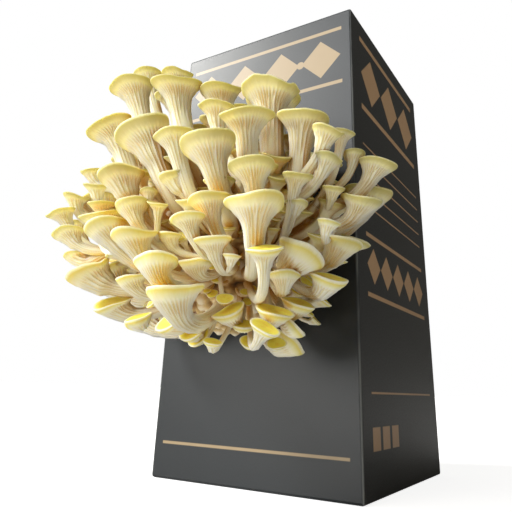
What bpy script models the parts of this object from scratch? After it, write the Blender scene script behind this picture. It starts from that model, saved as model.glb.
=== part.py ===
"""A grow kit with a cluster of oyster mushrooms: a tall carton with a window in its front, the
colonised block that fills it, the clump that swells out of the window, and the mushrooms on it.
Young mushrooms that fork from another one's stem are joined to it."""

import math

import bmesh
import bpy
from mathutils import Matrix, Vector

MM = 0.001

# The carton, in metres, standing on the ground with its front towards -Y
CARTON_WIDTH = 0.107
CARTON_DEPTH = 0.113
CARTON_HEIGHT = 0.230
CARD = 0.002
FOLD_RADIUS = 0.0011
WINDOW_WIDTH = 0.067
WINDOW_HEIGHT = 0.069
WINDOW_CORNER = 0.022
WINDOW_UP = 0.101
FLAP_SLIT = 0.0007
FLAP_SLIT_DEPTH = 0.0009
FLAP_INSET = 0.0031
GAP = 0.0003

# The block inside, in its bag, and the headroom over it
BLOCK_HEADROOM = 0.016
BLOCK_EDGE = 0.005

# The clump, which is flat where it meets the block
CLUMP_OUT = 0.017
CLUMP_ACROSS = 0.000
CLUMP_UP = 0.101
CLUMP_SIZE = (0.036, 0.035, 0.037)
CLUMP_SIDES = 16
CLUMP_ROWS = 9

FRONT_Y = -CARTON_DEPTH / 2
CLUMP_CENTRE = Vector((CLUMP_ACROSS, FRONT_Y - CLUMP_OUT, CLUMP_UP))

# How a mushroom stands on the clump: no further back than a short way behind its middle, and a
# little to one side of where its cap lies. How its stem bends is in shares of the stem's length.
FOOT_GAP = 0.00035
FURTHEST_BACK = 0.008
ROOTS_ASIDE = 0.010
FOOT_PULL = 0.38
CAP_PULL = 0.42
FORK_PULL = 0.35
FORK_CAP_PULL = 0.45
FORK_SAG = 0.35
SPINE_STEPS = 60
SLOPE_SPAN = 0.05

# A mushroom's outline: (distance below the cap, radius), both in cap radii, from the stem's top
# to the dish on the cap. Below it, the stem's rings are at shares of what is left of its length.
STEM = ((1.0, 0.27), (0.45, 0.28))
UNDER_CAP = ((1.25, 0.30), (0.80, 0.36), (0.46, 0.51), (0.19, 0.82), (0.0, 1.0))
YOUNG_STEM = ((1.0, 0.27),)
YOUNG_UNDER_CAP = ((1.15, 0.30), (0.50, 0.48), (0.20, 0.80), (0.0, 1.0))
FLARE_LENGTH = 1.25
LONGEST_FLARE = 0.62
DISH_DEPTH = 0.08
CAP_SHIFT = 0.14
FULLNESS_FROM = 0.32
FULLNESS_GAIN = 0.8
FASTEST_TURN = 0.8
BROAD_CAP = 18
BROAD_SIDES = 8
NARROW_SIDES = 7
YOUNG_SIDES = 6
GOLDEN_ANGLE = math.radians(137.5)

# The rim is uneven from SPREAD_FROM of the cap's radius out, in waves round it: (number of waves,
# turns of the mushroom's own phase, size)
SPREAD_FROM = 0.3
RIM_BUMPS = ((3, 2.1, 0.06), (2, -1.0, 0.05))
RIM_WAVES = ((2, 1.0, 0.6), (3, 1.7, 0.4))
WAVE_POWER = 1.5

SHARP_ANGLE = math.radians(35)

# One row for each mushroom, roughly from the top down, in millimetres and degrees: the cap's
# centre across, out from the carton's face and up; the cap's width; the side its top leans to (0
# is the front and 90 is +X) and how far; the rim's waviness; the flare's fullness; how low its
# foot is.
MUSHROOMS = (
    (-23, 42, 188.5, 15.5, 11, 8, 0.12, 0.2, 0.30),
    (-38, 48, 189.5, 15.5, -60, 12, 0.10, 0.2, 0.30),
    (-4, 18, 172, 27.0, -20, 4, 0.10, 0.2, 0.30),
    (-27, 66, 170, 20.5, -45, 17, 0.10, 0.3, 0.40),
    (22, 26, 168, 26.0, 20, 4, 0.10, 0.2, 0.30),
    (-4, 62, 166.5, 22.0, 28, 15, 0.10, 0.15, 0.40),
    (12, 52, 164, 20.0, 18, 13, 0.08, 0.15, 0.35),
    (2, 36, 160, 20.0, 0, 6, 0.10, 0.2, 0.30),
    (39, 54, 156, 24.0, 34, 12, 0.18, 0.2, 0.40),
    (-46, 40, 147, 24.0, -60, 8, 0.10, 0.2, 0.30),
    (-40, 64, 152.5, 22.0, -60, 27, 0.10, 0.3, 0.40),
    (-60, 18, 146, 28.0, -90, 10, 0.10, 0.3, 0.30),
    (41.5, 35, 141, 19.0, 30, 6, 0.10, 0.2, 0.30),
    (52, 50, 141.5, 20.5, 53, 13, 0.10, 0.2, 0.45),
    (-7.5, 74, 137, 24.0, -81, 28, 0.08, 0.6, 0.42),
    (37, 68, 137, 20.5, 13, 10, 0.08, 0.0, 0.50),
    (64, 40, 136.5, 10.0, 52, 10, 0.10, 0.15, 0.34),
    (10, 76, 131.5, 16.5, -44, 8, 0.08, 0.15, 0.45),
    (-69, 38, 129, 26.0, -80, 12, 0.10, 0.3, 0.30),
    (29, 78, 121.5, 21.0, -105, 18, 0.10, 0.15, 0.33),
    (73.5, 30, 125, 15.0, 115, 13, 0.08, 0.2, 0.08),
    (-16, 76, 120, 18.5, -70, 13, 0.08, 0.75, 0.40),
    (62, 10, 122, 22.0, 90, 10, 0.08, 0.3, 0.30),
    (-70, 61, 117, 13.5, -20, 23, 0.10, 0.3, 0.30),
    (43.5, 72, 113, 17.0, -94, 11, 0.08, 0.1, 0.50),
    (52.5, 56, 114, 11.5, 92, 8, 0.08, 0.15, 0.45),
    (-80, 42, 116, 14.0, -80, 16, 0.10, 0.3, 0.25),
    (68.5, 34, 110, 17.0, 59, 14, 0.10, 0.2, 0.05),
    (-32.5, 68, 108, 18.5, -1, 15, 0.08, 0.15, 0.34),
    (-54, 67, 103, 13.5, -81, 21, 0.10, 0.45, 0.10),
    (-7.5, 76, 104.5, 13.5, -125, 25, 0.08, 0.3, 0.40),
    (28.5, 76, 102.5, 15.0, -60, 10, 0.08, 0.2, 0.34),
    (-21, 74, 99.5, 20.0, -68, 16, 0.08, 0.3, 0.40),
    (48, 76, 97.5, 20.0, -139, 7, 0.08, 0.0, 0.52),
    (24.5, 81, 94.5, 12.0, -76, 13, 0.08, 0.2, 0.30),
    (-64, 4, 94, 22.0, -90, 26, 0.08, 0.45, 0.25),
    (61, 38, 93, 15.5, 116, 11, 0.08, 0.6, 0.30),
    (0.5, 81, 92, 17.5, -30, 7, 0.08, 0.3, 0.45),
    (-59, 34, 91, 25.0, -80, 24, 0.10, 0.45, 0.40),
    (32, 76, 87.5, 12.5, -12, 7, 0.08, 0.2, 0.28),
    (-43, 62, 87, 20.5, -50, 32, 0.14, 0.9, 0.30),
    (53, 54, 86, 17.5, 140, 31, 0.10, 0.9, 0.15),
    (52, 76, 82.5, 12.5, 20, 22, 0.06, 0.2, 0.55),
    (13.5, 82, 80, 16.0, -133, 13, 0.08, 0.3, 0.30),
    (17.5, 66, 82.5, 12.0, -162, 4, 0.08, 0.3, 0.15),
    (59, 44, 79, 14.5, 60, 22, 0.06, 0.6, 0.20),
    (-11.5, 68, 79, 13.0, -56, 8, 0.08, 0.3, 0.30),
    (49, 58, 77.5, 11.5, -108, 5, 0.08, 0.3, 0.16),
    (-49, 19, 74, 22.0, -80, 34, 0.08, 0.45, 0.60),
    (-35, 53, 74, 17.0, 0, 29, 0.08, 0.45, 0.30),
    (46, 42, 71, 13.0, 70, 25, 0.06, 0.45, 0.30),
    (20.5, 80, 70, 20.0, -77, 6, 0.10, 0.2, 0.60),
    (43.5, 54, 66.5, 13.5, 60, 25, 0.06, 0.3, 0.10),
    (25.5, 56, 67, 13.5, -15, 32, 0.06, 0.3, 0.30),
    (45, 62, 60, 10.5, 70, 35, 0.06, 0.3, 0.60),
    (34, 26, 59, 14.0, 130, 35, 0.10, 0.75, 1.00),
)

# The young mushrooms on each numbered mushroom, in rows like those, but ending with the share of
# the way up its stem where they fork from it
YOUNG = {
    1: ((-24, 47, 174, 11.5, -60, 10, 0.06, 0.3, 0.50),),
    10: ((-64, 52, 140, 11.0, 5, 14, 0.06, 0.75, 0.50),),
    14: (
        (60.5, 48, 123, 12.5, 92, 8, 0.08, 0.45, 0.30),
        (64, 54, 131, 13.0, 80, 15, 0.12, 0.3, 0.50),
    ),
    16: ((19, 62, 149.5, 15.0, 47, 16, 0.14, 0.45, 0.45),),
    17: ((65.5, 33, 129, 9.5, -146, 13, 0.06, 0.2, 0.35),),
    18: ((7.5, 71.5, 117, 12.0, -45, 10, 0.05, 0.9, 0.40),),
    19: (
        (-71, 53, 127, 13.0, 80, 14, 0.06, 0.45, 0.45),
        (-52, 58, 128, 11.5, 30, 15, 0.06, 0.6, 0.50),
    ),
    20: ((28.5, 70, 111.5, 12.5, 3, 8, 0.06, 0.2, 0.40),),
    21: ((61, 42, 113, 8.5, 70, 14, 0.06, 0.6, 0.30),),
    26: ((50.5, 52, 105, 8.5, 160, 10, 0.06, 0.6, 0.30),),
    28: ((65.5, 57, 94.5, 8.5, 112, 13, 0.08, 0.45, 0.50),),
    29: ((-36, 66, 114, 13.0, 25, 12, 0.06, 0.3, 0.50),),
    30: ((-57, 58, 96, 13.5, -35, 15, 0.08, 0.6, 0.45),),
    31: (
        (3.5, 74, 105.5, 8.5, 49, 22, 0.06, 0.3, 0.50),
        (-4.5, 72, 112, 7.0, -124, 12, 0.05, 0.3, 0.25),
    ),
    33: ((-41, 62, 103, 8.0, 5, 11, 0.06, 0.6, 0.70),),
    35: ((9, 72, 93, 9.0, 40, 4, 0.05, 0.75, 0.30),),
    40: ((37, 72, 82.5, 6.5, 55, 9, 0.06, 0.6, 0.50),),
    45: ((25, 58, 71, 6.5, 35, 46, 0.03, 0.3, 0.30),),
    46: ((51, 36, 76, 9.5, 125, 8, 0.06, 0.6, 0.30),),
    50: ((-16, 58, 66, 10.5, -10, 27, 0.06, 0.75, 0.40),),
    51: ((44, 40, 63, 11.5, 115, 42, 0.08, 0.75, 0.35),),
    52: (
        (7, 66, 63, 11.0, -10, 46, 0.05, 0.75, 0.35),
        (11, 58, 60, 9.5, 0, 50, 0.05, 0.75, 0.15),
        (10, 53, 59, 9.0, 5, 62, 0.04, 0.6, 0.05),
    ),
    54: (
        (28, 50, 63, 10.0, 45, 24, 0.05, 0.6, 0.40),
        (21, 58, 56, 7.0, 50, 23, 0.04, 0.6, 0.15),
    ),
    55: (
        (29, 46, 57, 8.0, 35, 42, 0.03, 0.45, 0.30),
        (35, 38, 57, 7.5, 30, 42, 0.03, 0.45, 0.30),
    ),
}

# Mushrooms whose fork is so tight that the young cap touches the parent's
TIGHT_FORKS = (19, 30, 46, 51, 54, 55)


def clear_scene():
    for obj in list(bpy.data.objects):
        bpy.data.objects.remove(obj)


def new_collection(name):
    collection = bpy.data.collections.new(name)
    bpy.context.scene.collection.children.link(collection)
    return collection


def principled(name, colour, roughness):
    material = bpy.data.materials.new(name)
    material.use_nodes = True
    shader = material.node_tree.nodes["Principled BSDF"]
    shader.inputs["Base Color"].default_value = (*colour, 1.0)
    shader.inputs["Roughness"].default_value = roughness
    shader.inputs["Metallic"].default_value = 0.0
    return material


def add_object(name, shape, collection, origin=(0.0, 0.0, 0.0)):
    """Makes an object of a bmesh in world space, with its origin at the given point."""
    bmesh.ops.recalc_face_normals(shape, faces=shape.faces[:])
    mesh = bpy.data.meshes.new(name)
    shape.to_mesh(mesh)
    shape.free()
    mesh.transform(Matrix.Translation(-Vector(origin)))
    obj = bpy.data.objects.new(name, mesh)
    obj.location = origin
    collection.objects.link(obj)
    return obj


def add_helper(name, shape, collection):
    obj = add_object(name, shape, collection)
    obj.hide_render = True
    obj.display_type = "WIRE"
    return obj


def block_shape(low, high):
    shape = bmesh.new()
    bmesh.ops.create_cube(shape, size=1.0)
    low = Vector(low)
    high = Vector(high)
    for vertex in shape.verts:
        share = vertex.co + Vector((0.5, 0.5, 0.5))
        vertex.co = low + Vector(s * side for s, side in zip(share, high - low))
    return shape


def add_boolean(obj, other, operation):
    modifier = obj.modifiers.new(other.name, "BOOLEAN")
    modifier.operation = operation
    modifier.object = other
    return modifier


def window_shape():
    """A block through the carton's front, with its four edges along Y rounded."""
    half = Vector((WINDOW_WIDTH / 2, 2 * CARD, WINDOW_HEIGHT / 2))
    centre = Vector((0.0, FRONT_Y, WINDOW_UP))
    shape = block_shape(centre - half, centre + half)
    along_y = [
        edge
        for edge in shape.edges
        if abs((edge.verts[1].co - edge.verts[0].co).y) > CARD
    ]
    bmesh.ops.bevel(
        shape, geom=along_y, offset=WINDOW_CORNER, segments=6, profile=0.5, affect="EDGES"
    )
    return shape


def flap_slits():
    """The slits round the tuck flap, at its two sides and its front: (low corner, high corner)."""
    side_x = CARTON_WIDTH / 2 - FLAP_INSET
    front_y = FRONT_Y + FLAP_INSET
    back_y = -FRONT_Y - FLAP_INSET
    low_z = CARTON_HEIGHT - FLAP_SLIT_DEPTH
    high_z = CARTON_HEIGHT + CARD
    for x in (-side_x, side_x):
        yield (x - FLAP_SLIT / 2, front_y, low_z), (x + FLAP_SLIT / 2, back_y, high_z)
    yield (-side_x, front_y - FLAP_SLIT / 2, low_z), (side_x, front_y + FLAP_SLIT / 2, high_z)


def add_carton(parts, helpers):
    half = Vector((CARTON_WIDTH / 2, CARTON_DEPTH / 2, 0.0))
    up = Vector((0.0, 0.0, CARTON_HEIGHT))
    card = Vector((CARD, CARD, CARD))
    carton = add_object("carton", block_shape(-half, half + up), parts)
    folds = carton.modifiers.new("folds", "BEVEL")
    folds.width = FOLD_RADIUS
    folds.segments = 2
    inside = add_helper("inside", block_shape(card - half, half + up - card), helpers)
    window = add_helper("window", window_shape(), helpers)
    cutters = [inside, window]
    for number, (low, high) in enumerate(flap_slits(), start=1):
        cutters.append(add_helper(f"flap_slit_{number}", block_shape(low, high), helpers))
    for cutter in cutters:
        add_boolean(carton, cutter, "DIFFERENCE")
    return carton


def add_block(parts):
    """The colonised block in its bag, a gap short of the carton's walls."""
    side = CARTON_WIDTH / 2 - CARD - GAP
    front = CARTON_DEPTH / 2 - CARD - GAP
    top = CARTON_HEIGHT - CARD - BLOCK_HEADROOM
    shape = block_shape((-side, -front, CARD + GAP), (side, front, top))
    block = add_object("substrate_block", shape, parts)
    edges = block.modifiers.new("soft edges", "BEVEL")
    edges.width = BLOCK_EDGE
    edges.segments = 2
    return block


def add_clump(parts):
    """The swollen base that every stem stands on, cut flat a gap in front of the block."""
    shape = bmesh.new()
    bmesh.ops.create_uvsphere(
        shape, u_segments=CLUMP_SIDES, v_segments=CLUMP_ROWS, radius=1.0
    )
    bmesh.ops.scale(shape, vec=CLUMP_SIZE, verts=shape.verts)
    bmesh.ops.translate(shape, vec=CLUMP_CENTRE, verts=shape.verts)
    bmesh.ops.bisect_plane(
        shape,
        geom=shape.verts[:] + shape.edges[:] + shape.faces[:],
        plane_co=(0.0, FRONT_Y + CARD, 0.0),
        plane_no=(0.0, 1.0, 0.0),
        clear_outer=True,
    )
    bmesh.ops.holes_fill(shape, edges=[e for e in shape.edges if e.is_boundary])
    return add_object("cluster_base", shape, parts, CLUMP_CENTRE)


def cap_centre(row):
    return Vector((row[0] * MM, FRONT_Y - row[1] * MM, row[2] * MM))


def cap_axis(row):
    """The way the cap's top faces."""
    towards = math.radians(row[4])
    lean = math.radians(row[5])
    return Vector(
        (
            math.sin(lean) * math.sin(towards),
            -math.sin(lean) * math.cos(towards),
            math.cos(lean),
        )
    )


def on_clump(towards):
    """The point of the clump that lies towards a place in front of it, and its normal."""
    away = towards - CLUMP_CENTRE
    away.y = min(away.y, FURTHEST_BACK)
    scaled = Vector(a / size for a, size in zip(away, CLUMP_SIZE))
    point = away / scaled.length
    normal = Vector(p / size**2 for p, size in zip(point, CLUMP_SIZE)).normalized()
    return CLUMP_CENTRE + point, normal


def spine(row):
    """A stem's curve from its foot on the clump to its cap, as four control points."""
    centre = cap_centre(row)
    reach = (centre - CLUMP_CENTRE).length
    point, normal = on_clump(centre + Vector((ROOTS_ASIDE, 0.0, -row[8] * reach)))
    foot = point + normal * FOOT_GAP
    span = (centre - foot).length
    return (
        foot,
        foot + normal * span * FOOT_PULL,
        centre - cap_axis(row) * span * CAP_PULL,
        centre,
    )


def forked_spine(row, stem):
    """The same for a young mushroom, whose foot is inside the stem that it forks from."""
    centre = cap_centre(row)
    foot = along(stem, row[8])
    span = (centre - foot).length
    start = (centre - foot - Vector((0.0, 0.0, FORK_SAG * span))).normalized()
    return (
        foot,
        foot + start * span * FORK_PULL,
        centre - cap_axis(row) * span * FORK_CAP_PULL,
        centre,
    )


def along(curve, share):
    rest = 1.0 - share
    weights = (rest**3, 3 * share * rest**2, 3 * share**2 * rest, share**3)
    return sum((weight * point for weight, point in zip(weights, curve)), Vector())


class Stem:
    """Places and directions along a spine, by distance down from the cap."""

    def __init__(self, curve):
        self.points = [along(curve, 1.0 - k / SPINE_STEPS) for k in range(SPINE_STEPS + 1)]
        self.distances = [0.0]
        for last, point in zip(self.points, self.points[1:]):
            self.distances.append(self.distances[-1] + (point - last).length)
        self.length = self.distances[-1]
        self.foot_axis = (curve[1] - curve[0]).normalized()

    def at(self, distance):
        distance = min(max(distance, 0.0), self.length)
        for k in range(SPINE_STEPS):
            step = self.distances[k + 1] - self.distances[k]
            if distance <= self.distances[k + 1] or k == SPINE_STEPS - 1:
                return self.points[k].lerp(self.points[k + 1], (distance - self.distances[k]) / step)
        return self.points[-1]

    def direction(self, distance):
        """The way up the stem."""
        if distance >= self.length:
            return self.foot_axis
        near = SLOPE_SPAN * self.length
        return (self.at(distance - near) - self.at(distance + near)).normalized()


def ripple(angle, phase, waves):
    return sum(size * math.cos(count * angle + turns * phase) for count, turns, size in waves)


def ring_frames(stem, axis, rings, radius):
    """Each ring's centre, the way it faces and its first side. From the cap down, a ring turns from
    the cap's axis to the stem's, so slowly where the cap is wide that no two rings meet."""
    frames = []
    facing = axis
    side = Vector((0.0, 1.0, 0.1)).cross(axis).normalized()
    above = stem.at(0.0)
    wide = 1.0
    for distance, share in reversed(rings):
        middle = stem.at(distance)
        wanted = stem.direction(distance) if distance > 0.0 else axis
        turn = facing.angle(wanted)
        most = FASTEST_TURN * max((above - middle).dot(facing), 0.0) / (wide * radius)
        facing = facing.slerp(wanted, most / turn) if turn > most else wanted
        side = (side - facing * side.dot(facing)).normalized()
        frames.append((middle, facing, side))
        above = middle
        wide = share
    return frames[::-1]


def mushroom_shape(row, curve, phase, sides, stem_rings, cap_rings):
    """Lofts rings along the stem and under the cap, and closes the foot and the cap's dish."""
    radius = row[3] * MM / 2
    wave = row[6]
    centre = cap_centre(row)
    axis = cap_axis(row)
    stem = Stem(curve)
    outward = centre - CLUMP_CENTRE
    outward.z = 0.0
    shift = (outward - axis * outward.dot(axis)).normalized() * CAP_SHIFT * radius
    flare = min(FLARE_LENGTH * radius, stem.length * LONGEST_FLARE)
    angles = [math.tau * k / sides for k in range(sides)]

    def swollen(share):
        return share + FULLNESS_GAIN * row[7] * share * (1.0 - share) * (share > FULLNESS_FROM)

    def loop(share, middle, up, side):
        other = up.cross(side)
        spread = max(0.0, (share - SPREAD_FROM) / (1.0 - SPREAD_FROM))
        points = []
        for angle in angles:
            out = share * radius * (1.0 + spread * ripple(angle, phase, RIM_BUMPS))
            rise = wave * radius * spread**WAVE_POWER * ripple(angle, phase, RIM_WAVES)
            flat = side * math.cos(angle) + other * math.sin(angle)
            points.append(middle + shift * spread + flat * out + up * rise)
        return points

    rings = [(flare + (stem.length - flare) * share, swollen(r)) for share, r in stem_rings]
    rings += [(depth * flare / FLARE_LENGTH, swollen(r)) for depth, r in cap_rings]
    frames = ring_frames(stem, axis, rings, radius)
    dish = centre - axis * DISH_DEPTH * radius + shift / 2
    loops = [loop(share, *place) for (_, share), place in zip(rings, frames)]
    return loft(loops, curve[0], dish)


def loft(rings, low_tip, high_tip):
    shape = bmesh.new()
    loops = [[shape.verts.new(point) for point in ring] for ring in rings]
    sides = len(loops[0])
    for low, high in zip(loops, loops[1:]):
        for k in range(sides):
            n = (k + 1) % sides
            shape.faces.new((low[k], low[n], high[n], high[k]))
    for loop, tip in ((loops[0], low_tip), (loops[-1], high_tip)):
        middle = shape.verts.new(tip)
        for k in range(sides):
            shape.faces.new((loop[k], loop[(k + 1) % sides], middle))
    return shape


def add_mushroom(number, row, parts, helpers):
    curve = spine(row)
    phase = GOLDEN_ANGLE * number
    sides = BROAD_SIDES if row[3] >= BROAD_CAP else NARROW_SIDES
    shape = mushroom_shape(row, curve, phase, sides, STEM, UNDER_CAP)
    mushroom = add_object(f"mushroom_{number:02d}", shape, parts, curve[0])
    for k, young in enumerate(YOUNG.get(number, ()), start=1):
        fork = forked_spine(young, curve)
        shape = mushroom_shape(young, fork, phase + k, YOUNG_SIDES, YOUNG_STEM, YOUNG_UNDER_CAP)
        helper = add_helper(f"mushroom_{number:02d}_young_{k}", shape, helpers)
        join = add_boolean(mushroom, helper, "UNION")
        join.solver = "MANIFOLD" if number in TIGHT_FORKS else "EXACT"
    return mushroom


def finish(obj, material):
    obj.data.materials.append(material)
    obj.data.shade_smooth()
    obj.data.set_sharp_from_angle(angle=SHARP_ANGLE)


def place_under(parent, child):
    child.parent = parent
    child.matrix_parent_inverse = parent.matrix_world.inverted()


def main():
    clear_scene()
    parts = new_collection("oyster_grow_kit")
    helpers = new_collection("helpers")
    root = bpy.data.objects.new("oyster_grow_kit", None)
    parts.objects.link(root)

    carton = add_carton(parts, helpers)
    block = add_block(parts)
    clump = add_clump(parts)
    finish(carton, principled("carton", (0.045, 0.050, 0.055), 0.6))
    finish(block, principled("substrate_block", (0.52, 0.42, 0.28), 0.5))
    finish(clump, principled("cluster_base", (0.80, 0.68, 0.42), 0.7))
    mushrooms = [
        add_mushroom(number, row, parts, helpers)
        for number, row in enumerate(MUSHROOMS, start=1)
    ]
    for mushroom in mushrooms:
        finish(mushroom, principled(mushroom.name, (0.86, 0.80, 0.52), 0.6))

    bpy.context.view_layer.update()
    for obj in (carton, block, clump):
        place_under(root, obj)
    for mushroom in mushrooms:
        place_under(clump, mushroom)


main()
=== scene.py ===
"""Looks of an oyster mushroom grow kit: a charcoal card carton, the swollen base in its window,
and the crowded cluster on it, each mushroom with its gills, its smooth margin and its young ones."""

import math

import bpy
import numpy as np
from mathutils import Matrix, Vector, noise


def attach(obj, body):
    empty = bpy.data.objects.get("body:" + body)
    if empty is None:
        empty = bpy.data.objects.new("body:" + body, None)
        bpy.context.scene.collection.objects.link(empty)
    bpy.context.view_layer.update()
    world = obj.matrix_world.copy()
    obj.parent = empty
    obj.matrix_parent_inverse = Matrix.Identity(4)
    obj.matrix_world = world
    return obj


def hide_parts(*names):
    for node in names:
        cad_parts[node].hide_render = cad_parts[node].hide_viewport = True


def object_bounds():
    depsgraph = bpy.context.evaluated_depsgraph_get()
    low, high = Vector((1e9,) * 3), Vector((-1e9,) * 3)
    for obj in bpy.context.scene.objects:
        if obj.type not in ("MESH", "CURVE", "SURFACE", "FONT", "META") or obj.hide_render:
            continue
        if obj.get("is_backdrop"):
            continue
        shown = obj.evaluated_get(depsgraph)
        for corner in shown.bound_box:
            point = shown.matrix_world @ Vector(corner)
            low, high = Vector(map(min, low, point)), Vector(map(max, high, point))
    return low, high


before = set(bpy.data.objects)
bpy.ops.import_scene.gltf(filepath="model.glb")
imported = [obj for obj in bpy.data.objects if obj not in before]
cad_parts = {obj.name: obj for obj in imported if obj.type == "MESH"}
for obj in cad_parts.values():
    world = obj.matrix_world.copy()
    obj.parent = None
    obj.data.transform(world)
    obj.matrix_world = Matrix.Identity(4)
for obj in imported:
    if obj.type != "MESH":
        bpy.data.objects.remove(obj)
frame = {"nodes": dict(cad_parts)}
CAD_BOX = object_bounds()

MM = 0.001
TO_MM = 1000

# The camera, fitted to the carton's edges in the photograph, in pixels, metres and degrees
IMAGE_PX = 512
FOCAL_PX = 535.06
CENTRE_PX = (269.01, 190.39)
CAMERA_AT = (0.1392, -0.2734, 0.0401)
CAMERA_AZIMUTH = 31.391
CAMERA_UP = 20.483
CAMERA_ROLL = 1.857

# The carton, its card and the clump, which is an ellipsoid of these half-axes, as in the solids
CARTON_WIDTH = 0.107
CARTON_DEPTH = 0.113
CARD = 0.002
FRONT_Y = -CARTON_DEPTH / 2
CLUMP_CENTRE = np.array((0.0, FRONT_Y - 0.017, 0.101))
CLUMP_SIZE = np.array((0.036, 0.035, 0.037))

# How a mushroom stands on the clump, in metres: the furthest back that a foot is aimed, how far
# to the right of the cap, its gap to the clump and how deep it runs on
FURTHEST_BACK = 0.008
ROOTS_ASIDE = 0.010
FOOT_GAP = 0.00035
ROOTED = 0.003

# How a stem bends: how far each end keeps its way, as shares of the distance between them, and
# how much a fork sags; and how a ring's turn down the stem is sampled and held back
FOOT_PULL = 0.38
CAP_PULL = 0.42
FORK_PULL = 0.35
FORK_CAP_PULL = 0.45
FORK_SAG = 0.35
SPINE_STEPS = 60
SLOPE_SPAN = 0.05
FASTEST_TURN = 0.8
LEAST_TURN = 1e-6

# A mushroom's outline: (distance below the cap, radius), both in cap radii, and the part of the
# stem below the flare as shares of its length. A short stem has a shorter flare
FOOT_RADIUS = 0.34
STEM = ((1.0, 0.30), (0.72, 0.29), (0.45, 0.295), (0.2, 0.30))
UNDER_CAP = (
    (1.25, 0.305), (1.0, 0.325), (0.80, 0.36), (0.62, 0.42), (0.48, 0.50),
    (0.36, 0.61), (0.25, 0.745), (0.155, 0.855), (0.075, 0.94), (0.015, 0.985),
)
TOP = ((-0.02, 0.97), (-0.022, 0.86), (0.0, 0.6), (0.03, 0.3), (0.045, 0.04))
FLARE_LENGTH = 1.25
LONGEST_FLARE = 0.62
GOLDEN_ANGLE = math.radians(137.5)

# What changes the outline: the cap's shift outwards in its radii, the radius from which a full
# flare swells and by how much, and the height in metres from which stems grow stouter
CAP_SHIFT = 0.14
FULLNESS_FROM = 0.32
FULLNESS_GAIN = 0.8
STOUT_FROM = 0.105
STOUT_OVER = 0.05
STOUTEST = 0.16

# How the rim departs from a flat ring: waves as (how many round, turns of the phase, size), more
# and more of them from where the outline begins to spread out to the margin
SPREAD_FROM = 0.3
TOP_SPREAD_POWER = 0.7
RIM_BUMPS = ((3, 2.1, 0.06), (2, -1.0, 0.05))
RIM_WAVES = ((2, 1.0, 0.6), (3, 1.7, 0.4))
FRILLS = ((5, 1.3, 0.5), (8, -2.3, 0.3), (13, 3.1, 0.2))
FRILLY_FROM = 0.07
FRILLS_OUT = 0.4
FRILLS_UP = 0.6
WAVE_POWER = 1.5
FRILL_POWER = 4

# Gills: a crest every few points round, deepest on the flare, run out before the margin. Every
# other one is short. Their reaches down from the cap are in cap radii
POINTS_A_GILL = 4
MUSHROOM_GILLS = 15
YOUNG_GILLS = 10
CREST = np.array((1.0, 0.3, 0.0, 0.3))
CREST_LEVEL = 0.45
GILL_DEPTH = 0.1
GILL_STRAY = 0.09
SHORT_GILLS = (0.45, 0.9)
LONG_GILLS = (1.3, 4.0)
GILL_TAPER = 0.7
GILLS_END = (0.62, 0.82)
STEM_GILLS = 0.45
STEM_FADE = 0.9

# What the flesh material reads at a point: how far up the outline it is, where 1 is the margin
# and the top's middle is this much more; where on the fibres it is; and how golden a cap is, all
# of it below one height in millimetres and none of it above another
TOP_SPAN = 0.5
FIBRES_ROUND = 5
FIBRES_DOWN = 0.7
FIBRES_APART = 40
PALE_ABOVE = 112
GOLDEN_BELOW = 82

# Each mushroom's random draws start from its phase
SEEDS_A_TURN = 1000
SEEDS = 100003

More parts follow.
